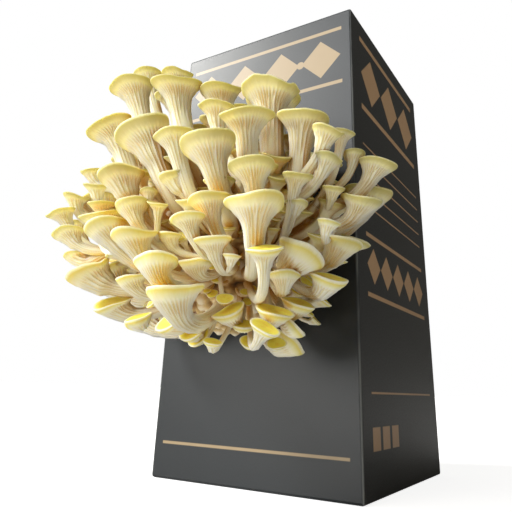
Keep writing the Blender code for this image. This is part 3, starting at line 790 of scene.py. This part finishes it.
def mushroom_material():
    """Cream gills and yellow tops. Painted light and shade make the khaki band at the margin, the
    darker gill valleys and the amber where the flesh is enclosed and deep in the cluster.
    """
    g = Graph("mushroom flesh")
    cap = g.math("DIVIDE", g.field("cap"), 1.0 + TOP_SPAN)
    fibre = g.field("fibre", "Vector")
    streaks = g.noise(fibre, 1.6, 4.0, 0.6)
    mottle = g.noise(g.place(), 90.0, 3.0)

    stray = g.between(cap, 0.56, 0.64, 0.07, 0.015)
    stray = g.math("MULTIPLY", g.math("SUBTRACT", streaks, 0.5), stray)
    wander = g.math("ADD", stray, cap)
    # The khaki, olive and lemon band inside the margin is painted light shining through the thin
    # margin, with painted shade under the lip
    pale = g.ramp(wander, (
        (0.16, CREAM), (0.46, CREAM), (0.53, WARM_CREAM), (0.59, KHAKI), (0.648, OLIVE),
        (0.664, WARM_CREAM), (0.69, KHAKI), (0.84, KHAKI),
    ))
    golden = g.ramp(wander, (
        (0.16, CREAM), (0.50, CREAM), (0.58, WARM_CREAM), (0.635, LEMON), (0.665, CREAM),
        (0.69, WARM_CREAM), (0.73, YELLOW), (1.0, YELLOW),
    ))
    patches = g.between(g.noise(g.place(), 260.0, 4.0, 0.65), 0.40, 0.62)
    patches = g.math("MULTIPLY", patches, g.between(cap, 0.70, 0.90))
    golden = g.mix(g.math("MULTIPLY", patches, 0.6), golden, ORANGE)
    colour = g.mix(g.field("ripe"), pale, golden)

    # Painted shade in the gill valleys, fading out before the margin
    valley = g.math("SUBTRACT", 1.0, g.field("gill"))
    under = g.between(cap, 0.48, 0.63, 0.90, 0.0)
    colour = g.mix(g.math("MULTIPLY", valley, under), colour, GILL_VALLEY_PAINTED_SHADE, "MULTIPLY")
    # Amber painted shade where other flesh is near and deep in the cluster by the clump, mostly on
    # the undersides
    below = g.between(cap, 0.66, 0.70, 1.0, 0.12)
    open_sky = g.node("AmbientOcclusion", {"Distance": ENCLOSED}, samples=8).outputs["AO"]
    closed = g.between(open_sky, 0.08, 0.60, 1.0, 0.0)
    closed = g.math("MULTIPLY", closed, g.between(valley, 0.0, 1.0, 1.0, 0.4))
    colour = g.mix(g.math("MULTIPLY", closed, below), colour, AMBER_PAINTED_SHADE, "MULTIPLY")
    away = g.node("VectorMath", {0: g.place(), 1: tuple(CLUMP_CENTRE)}, operation="DISTANCE")
    deep = g.between(away.outputs["Value"], *DEEP_SHADE_SPAN, 0.45, 0.0)
    colour = g.mix(g.math("MULTIPLY", deep, below), colour, AMBER_PAINTED_SHADE, "MULTIPLY")
    colour = g.mix(g.math("MULTIPLY", mottle, 0.2), colour, MOTTLE_SHADE, "MULTIPLY")
    tone = g.between(g.field("tone"), 0.0, 1.0, 0.0, 0.25)
    colour = g.mix(tone, colour, TONE_SHADE, "MULTIPLY")

    g.set(Base_Color=colour, Roughness=g.between(streaks, 0.3, 0.7, 0.48, 0.62))
    g.set(Specular_IOR_Level=0.35, Subsurface_Weight=0.45, Subsurface_Scale=0.005)
    g.set(Subsurface_Radius=(1.0, 0.85, 0.45))
    g.bump(g.math("ADD", streaks, g.math("MULTIPLY", mottle, 0.5)), 0.00025, 0.6)
    return g.material


# Brown and tan painted shade for the hollows between the clump's knobs, and the knobs' own buff
HOLLOW_BROWN = srgb(70, 50, 22)
HOLLOW_TAN = srgb(158, 118, 62)
LUMP_BUFF = srgb(228, 206, 150)


def clump_material():
    """Cream knobs with brown and tan painted shade in the hollows between them, under amber painted
    shade.
    """
    g = Graph("clump flesh")
    lump = g.field("gill")
    grain = g.noise(g.place(), 350.0, 4.0)
    colour = g.ramp(g.math("MULTIPLY_ADD", grain, 0.25, lump), (
        (0.25, HOLLOW_BROWN), (0.50, HOLLOW_TAN), (0.75, LUMP_BUFF), (0.95, CREAM),
    ))
    # Amber painted shade over the whole clump, which lies deep in the cluster
    colour = g.mix(0.3, colour, AMBER_PAINTED_SHADE, "MULTIPLY")
    g.set(Base_Color=colour, Roughness=0.6, Specular_IOR_Level=0.35)
    g.set(Subsurface_Weight=0.3, Subsurface_Scale=0.004, Subsurface_Radius=(1.0, 0.8, 0.4))
    g.bump(grain, 0.0004, 0.7)
    return g.material


# The card: its grey, what clouds and sprinkles it, the painted shade that darkens its foot and its
# right side, and the paler patches at its vertical edges
CHARCOAL = srgb(24, 30, 36)
SPECKLE = srgb(40, 47, 53)
CLOUDED = srgb(18, 21, 23)
FOOT_PAINTED_SHADE = srgb(17, 21, 22)
SIDE_PAINTED_SHADE = srgb(12, 14, 14)
EDGE_PALE = srgb(150, 152, 150)
FRONT_PRINT = srgb(158, 137, 104)
SIDE_PRINT = srgb(206, 164, 120)

# The print, in metres: where it ends on each side of a face's middle, the bands' lower and upper
# edges, and each row of gems or dots as (height, how many, pitch, half its size, left end)
SOFT_EDGE = 0.0002
FRONT_HALF = 0.048
FRONT_BANDS = ((0.2185, 0.2205), (0.1865, 0.1885), (0.0150, 0.0162))
FRONT_GEMS = (0.2035, 4, 0.0240, 0.0112, -0.048)
FRONT_DOTS = (0.2035, 3, 0.0240, 0.0022, -0.036)
SIDE_HALF = 0.045
SIDE_BANDS = (
    (0.2170, 0.2200), (0.1760, 0.1790), (0.1560, 0.1568), (0.1480, 0.1488), (0.1400, 0.1408),
    (0.1320, 0.1328), (0.1240, 0.1248), (0.1090, 0.1110), (0.0810, 0.0830), (0.0400, 0.0408),
)
SIDE_GEMS = ((0.1980, 3, 0.0300, 0.0142, -0.045), (0.0960, 5, 0.0180, 0.0085, -0.045))
SQUARES = 3
SQUARE_PITCH = 0.012
SQUARE_WIDTH = 0.009
SQUARE_HEIGHTS = (0.018, 0.027)


def inside(g, distance):
    """1 where the distance to a shape's outline is negative, with a soft edge."""
    return g.between(distance, -SOFT_EDGE, SOFT_EDGE, 1.0, 0.0)


def both(g, *masks):
    """1 where every mask is."""
    result = masks[0]
    for mask in masks[1:]:
        result = g.math("MULTIPLY", result, mask)
    return result


def within(g, value, low, high):
    """1 between low and high, with soft edges."""
    middle, half = (low + high) / 2, (high - low) / 2
    off = g.math("ABSOLUTE", g.math("SUBTRACT", value, middle))
    return inside(g, g.math("SUBTRACT", off, half))


def bands(g, across, up, half, heights):
    """Level bands as wide as the print."""
    marks = 0.0
    for low, high in heights:
        band = both(g, within(g, across, -half, half), within(g, up, low, high))
        marks = g.math("MAXIMUM", marks, band)
    return marks


def off_middle(g, across, left, pitch):
    """How far across a place is from the middle of its own step of a row."""
    local = g.math("WRAP", g.math("SUBTRACT", across, left), pitch, 0.0)
    return g.math("SUBTRACT", local, pitch / 2)


def gems(g, across, up, middle, count, pitch, size, left):
    """A row of solid diamonds, corner up, centred at height middle."""
    local = g.math("ABSOLUTE", off_middle(g, across, left, pitch))
    height = g.math("ABSOLUTE", g.math("SUBTRACT", up, middle))
    gem = inside(g, g.math("SUBTRACT", g.math("ADD", local, height), size))
    return both(g, gem, within(g, across, left, left + pitch * count))


def dots(g, across, up, middle, count, pitch, size, left):
    """A row of solid discs, centred at height middle."""
    local = off_middle(g, across, left, pitch)
    height = g.math("SUBTRACT", up, middle)
    far = g.math("SQRT", g.math("ADD", g.math("POWER", local, 2.0), g.math("POWER", height, 2.0)))
    disc = inside(g, g.math("SUBTRACT", far, size))
    return both(g, disc, within(g, across, left, left + pitch * count))


def front_print(g, x, z):
    marks = gems(g, x, z, *FRONT_GEMS)
    marks = g.math("MAXIMUM", marks, dots(g, x, z, *FRONT_DOTS))
    return g.math("MAXIMUM", marks, bands(g, x, z, FRONT_HALF, FRONT_BANDS))


def side_print(g, y, z):
    marks = bands(g, y, z, SIDE_HALF, SIDE_BANDS)
    for row in SIDE_GEMS:
        marks = g.math("MAXIMUM", marks, gems(g, y, z, *row))
    for k in range(SQUARES):
        left = -SIDE_HALF + k * SQUARE_PITCH
        square = both(g, within(g, y, left, left + SQUARE_WIDTH), within(g, z, *SQUARE_HEIGHTS))
        marks = g.math("MAXIMUM", marks, square)
    return marks


def carton_material():
    """Charcoal card with a fine speckle, painted shade towards its foot and on its right side, paler
    patches at its vertical edges and plain printed shapes and bands.
    """
    g = Graph("charcoal card")
    place = g.place()
    x, y, z = g.node("SeparateXYZ", {0: place}).outputs
    normal = g.node("SeparateXYZ", {0: g.node("TexCoord").outputs["Normal"]}).outputs
    front = g.between(normal[1], -0.8, -0.9)
    right = g.between(normal[0], 0.8, 0.9)
    grain = g.noise(place, 1400.0, 3.0, 0.65)
    cloud = g.noise(place, 22.0, 3.0)
    colour = g.mix(g.between(grain, 0.35, 0.75, 0.0, 0.5), CHARCOAL, SPECKLE)
    colour = g.mix(g.between(cloud, 0.3, 0.7, 0.0, 0.2), colour, CLOUDED)
    # Painted shade: the card darker towards its foot and on its right side
    colour = g.mix(g.between(z, 0.02, 0.19, 0.45, 0.0), colour, FOOT_PAINTED_SHADE)
    colour = g.mix(g.math("MULTIPLY", right, 0.6), colour, SIDE_PAINTED_SHADE)

    marks = both(g, front_print(g, x, z), front)
    colour = g.mix(g.math("MULTIPLY", marks, 0.96), colour, FRONT_PRINT)
    marks = both(g, side_print(g, y, z), right)
    colour = g.mix(g.math("MULTIPLY", marks, 0.9), colour, SIDE_PRINT)

    # Paler patches along the vertical edges, broken up by the cloud
    edge_x = g.math("SUBTRACT", CARTON_WIDTH / 2, g.math("ABSOLUTE", x))
    edge_y = g.math("SUBTRACT", CARTON_DEPTH / 2, g.math("ABSOLUTE", y))
    near = g.math("MAXIMUM", edge_x, edge_y)
    edge_pale_share = g.math("MULTIPLY", g.between(near, 0.0012, 0.0004), g.between(cloud, 0.3, 0.6))
    colour = g.mix(g.math("MULTIPLY", edge_pale_share, 0.45), colour, EDGE_PALE)
    g.set(Base_Color=colour, Roughness=g.between(grain, 0.3, 0.7, 0.36, 0.46))
    g.set(Specular_IOR_Level=0.52)
    g.bump(g.math("ADD", grain, g.math("MULTIPLY", cloud, 3.0)), 0.00006, 0.5)
    return g.material


CRUMB_BROWN = srgb(96, 68, 40)
CRUMB_TAN = srgb(176, 148, 108)
THREAD_CREAM = srgb(232, 222, 200)


def block_material():
    """Colonised substrate seen through its bag: cream threads over brown crumbs."""
    g = Graph("substrate")
    place = g.place()
    crumbs = g.node("TexVoronoi", {"Vector": place, "Scale": 260.0}).outputs["Distance"]
    threads = g.noise(place, 120.0, 5.0, 0.7)
    colour = g.ramp(g.math("MULTIPLY_ADD", crumbs, 0.4, threads), (
        (0.35, CRUMB_BROWN), (0.55, CRUMB_TAN), (0.75, THREAD_CREAM),
    ))
    g.set(Base_Color=colour, Roughness=g.between(threads, 0.3, 0.7, 0.3, 0.6))
    g.bump(g.math("ADD", threads, crumbs), 0.0006, 0.8)
    return g.material


# The floor's two greys, its glow to the camera, half its side and how far it is under the carton,
# and the light all round
WHITE = (1.0, 1.0, 1.0)
FLOOR_LIGHT = (0.62, 0.62, 0.62)
FLOOR_DARK = (0.58, 0.58, 0.58)
FLOOR_GLOW = 0.86
FLOOR_HALF = 30.0
FLOOR_DROP = 0.0002
SHADE = (1.0, 0.95, 0.82)
SHADE_STRENGTH = 0.15


def floor_material():
    """A pale floor that the camera sees as white, apart from the object's shadow."""
    g = Graph("pale floor")
    cloud = g.noise(g.place(), 3.0, 2.0)
    seen = g.node("LightPath").outputs["Is Camera Ray"]
    g.set(Base_Color=g.mix(g.math("MULTIPLY", cloud, 0.1), FLOOR_LIGHT, FLOOR_DARK))
    g.set(Roughness=0.8, Specular_IOR_Level=0.2)
    g.set(Emission_Color=WHITE, Emission_Strength=g.math("MULTIPLY", seen, FLOOR_GLOW))
    return g.material


def give(obj, material):
    obj.data.materials.clear()
    obj.data.materials.append(material)


def add_floor():
    mesh = bpy.data.meshes.new("floor")
    corners = [
        (across * FLOOR_HALF, out * FLOOR_HALF, 0.0)
        for across, out in ((-1, -1), (1, -1), (1, 1), (-1, 1))
    ]
    mesh.from_pydata(corners, [], [(0, 1, 2, 3)])
    floor = bpy.data.objects.new("floor", mesh)
    floor.location.z = -FLOOR_DROP
    bpy.context.scene.collection.objects.link(floor)
    give(floor, floor_material())
    floor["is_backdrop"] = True


def add_sun(name, towards, strength, spread, colour):
    """A soft sun; towards is the way its light comes from."""
    lamp = bpy.data.lights.new(name, "SUN")
    lamp.energy = strength
    lamp.angle = math.radians(spread)
    lamp.color = colour
    sun = bpy.data.objects.new(name, lamp)
    sun.rotation_euler = Vector(towards).to_track_quat("Z", "Y").to_euler()
    bpy.context.scene.collection.objects.link(sun)


def add_area(name, place, aim, size, power, colour):
    """A square soft lamp at a place, in metres, pointing at another."""
    lamp = bpy.data.lights.new(name, "AREA")
    lamp.size = size
    lamp.energy = power
    lamp.color = colour
    area = bpy.data.objects.new(name, lamp)
    area.location = place
    area.rotation_euler = (Vector(place) - Vector(aim)).to_track_quat("Z", "Y").to_euler()
    bpy.context.scene.collection.objects.link(area)


def add_world():
    """Weak warm light all round, which the camera sees as white."""
    world = bpy.data.worlds.new("studio")
    world.use_nodes = True
    bpy.context.scene.world = world
    nodes, links = world.node_tree.nodes, world.node_tree.links
    back = nodes["Background"]
    back.inputs["Strength"].default_value = SHADE_STRENGTH
    back.inputs["Color"].default_value = (*SHADE, 1.0)
    seen = nodes.new("ShaderNodeBackground")
    seen.inputs["Color"].default_value = (*WHITE, 1.0)
    path = nodes.new("ShaderNodeLightPath")
    mix = nodes.new("ShaderNodeMixShader")
    links.new(path.outputs["Is Camera Ray"], mix.inputs[0])
    links.new(back.outputs[0], mix.inputs[1])
    links.new(seen.outputs[0], mix.inputs[2])
    links.new(mix.outputs[0], nodes["World Output"].inputs["Surface"])


def add_light():
    """A soft sun from the left, a wide soft lamp before the carton and one that sheens its top."""
    add_sun(
        "key", towards=(-0.64, -0.46, 0.60), strength=4.0, spread=12, colour=(1.0, 0.995, 0.96),
    )
    add_area(
        "window", place=(-0.40, -1.12, 0.12), aim=(0.0, -0.08, 0.10), size=0.80, power=10.0,
        colour=(1.0, 0.99, 0.96),
    )
    add_area(
        "sheen", place=(-0.17, -0.80, 0.70), aim=(0.05, -0.05, 0.19), size=0.40, power=2.2,
        colour=WHITE,
    )
    add_world()


def add_camera():
    lens = bpy.data.cameras.new("camera")
    lens.sensor_width = 36.0
    lens.lens = lens.sensor_width * FOCAL_PX / IMAGE_PX
    lens.shift_x = (IMAGE_PX / 2 - CENTRE_PX[0]) / IMAGE_PX
    lens.shift_y = (CENTRE_PX[1] - IMAGE_PX / 2) / IMAGE_PX
    lens.clip_start = 0.01
    camera = bpy.data.objects.new("camera", lens)
    turn = Matrix.Rotation(math.radians(CAMERA_AZIMUTH), 4, "Z")
    tilt = Matrix.Rotation(math.radians(90 + CAMERA_UP), 4, "X")
    roll = Matrix.Rotation(math.radians(CAMERA_ROLL), 4, "Z")
    camera.matrix_world = Matrix.Translation(CAMERA_AT) @ turn @ tilt @ roll
    bpy.context.scene.collection.objects.link(camera)
    bpy.context.scene.camera = camera


def main():
    nodes = frame["nodes"]
    give(nodes["carton"], carton_material())
    give(nodes["substrate_block"], block_material())
    flesh = mushroom_material()
    for number, row in enumerate(MUSHROOMS, start=1):
        piece = mushroom_object(number, row)
        give(piece, flesh)
        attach(piece, "root")
        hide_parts(f"mushroom_{number:02d}")
    clump = add_clump()
    give(clump, clump_material())
    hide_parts("cluster_base")
    pins = add_pins()
    give(pins, flesh)
    for piece in (clump, pins):
        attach(piece, "root")
    add_floor()
    add_light()
    add_camera()
    bpy.context.scene.view_settings.view_transform = "Standard"


main()
boxes = {"cad": CAD_BOX, "visual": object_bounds()}
{name: [list(map(float, corner)) for corner in box] for name, box in boxes.items()}
